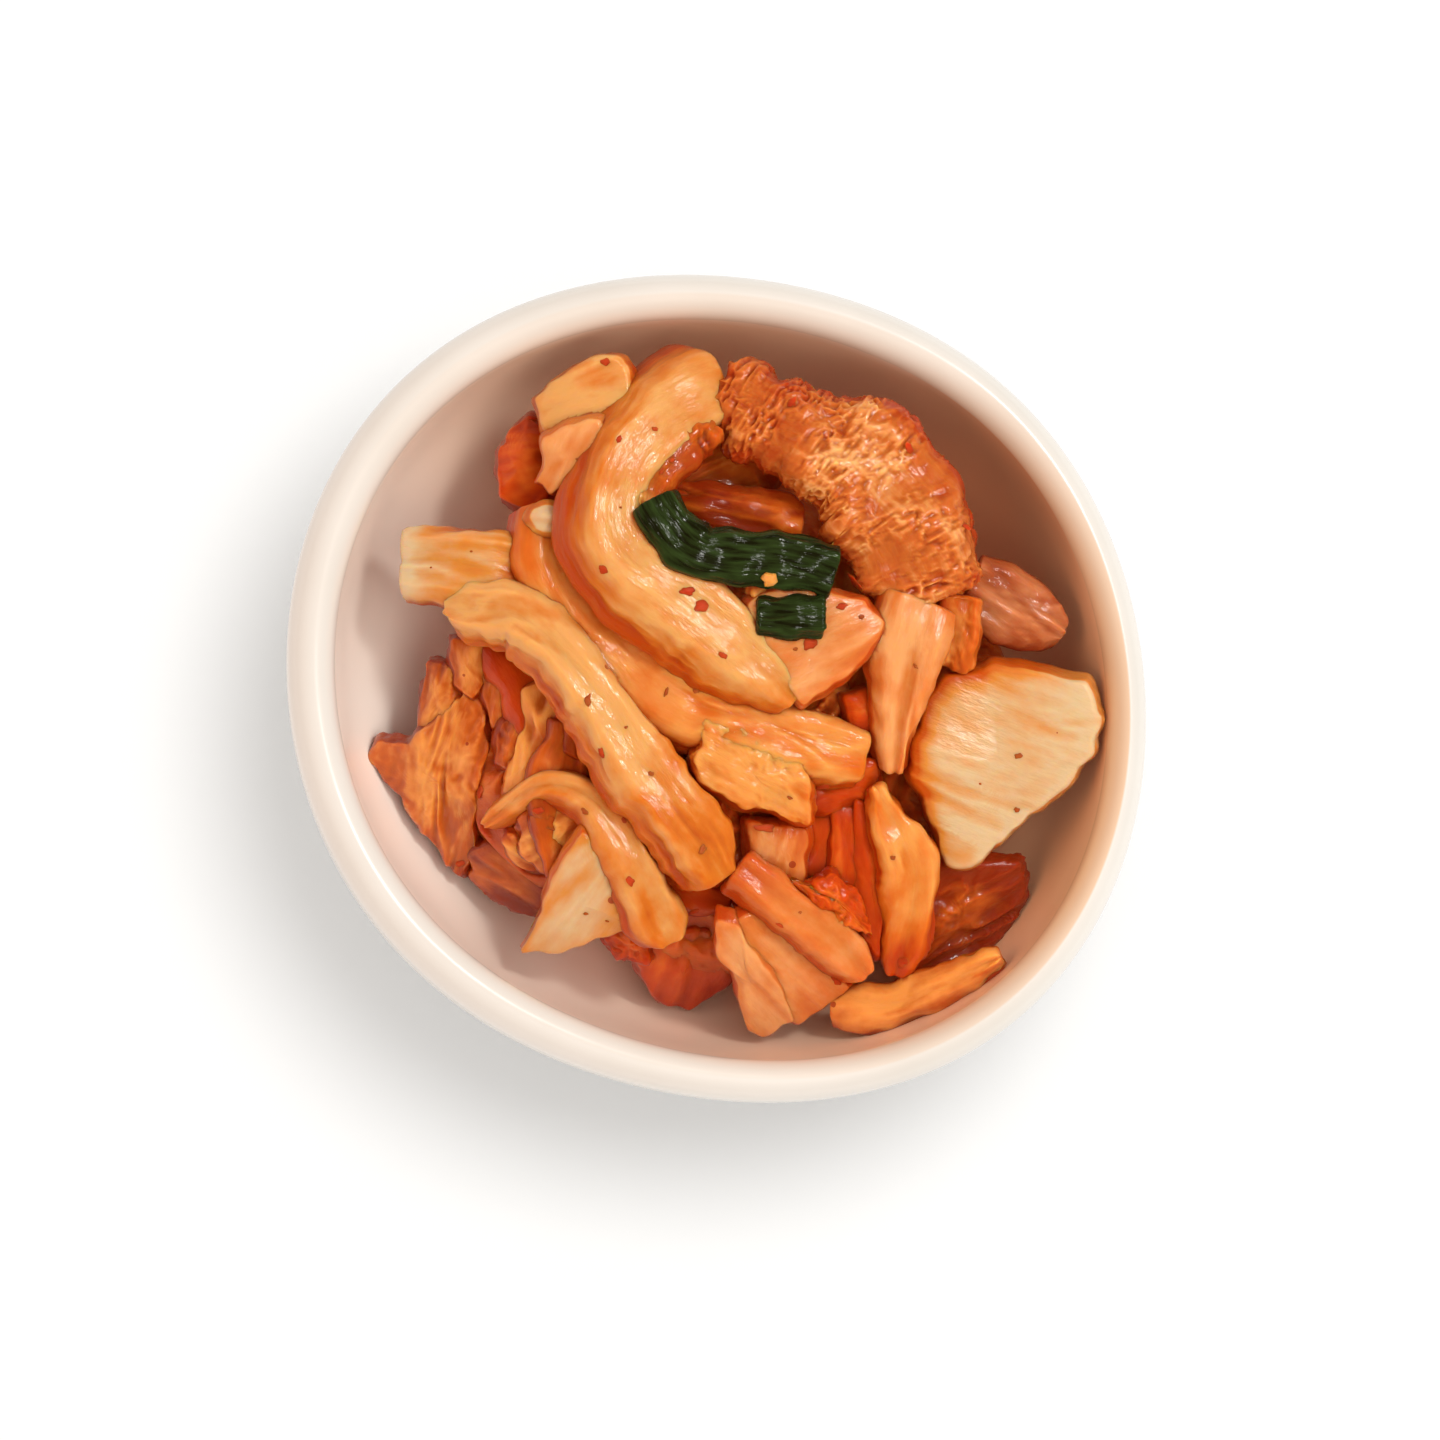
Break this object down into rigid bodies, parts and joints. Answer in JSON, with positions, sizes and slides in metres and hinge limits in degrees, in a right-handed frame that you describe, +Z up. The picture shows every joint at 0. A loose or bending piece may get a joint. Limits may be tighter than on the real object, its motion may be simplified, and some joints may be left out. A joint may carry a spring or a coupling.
{
  "type": "bowl of kimchi",
  "caption": "Small oval cream glazed side-dish bowl filled nearly to its thick round lip with a loose heap of cut kimchi cabbage, with green spring onion on top.",
  "frame": {"origin": "under the middle of the bowl's outline, on the surface that its foot ring stands on", "axes": "+Z up out of the bowl, +X to the right and +Y away as the dish is seen from the front"},
  "size_m": [0.0996, 0.096, 0.047],
  "materials": {
    "cream_glaze": "cream glazed stoneware, glossy",
    "chili_cabbage": "wet fermented cabbage, stained orange by chilli",
    "onion_green": "wet dark green spring onion"
  },
  "bodies": {
    "root": {"bowl": "cream_glaze", "kimchi_heap": "chili_cabbage", "scallion_long": "onion_green", "scallion_short": "onion_green"}
  },
  "joints": []
}
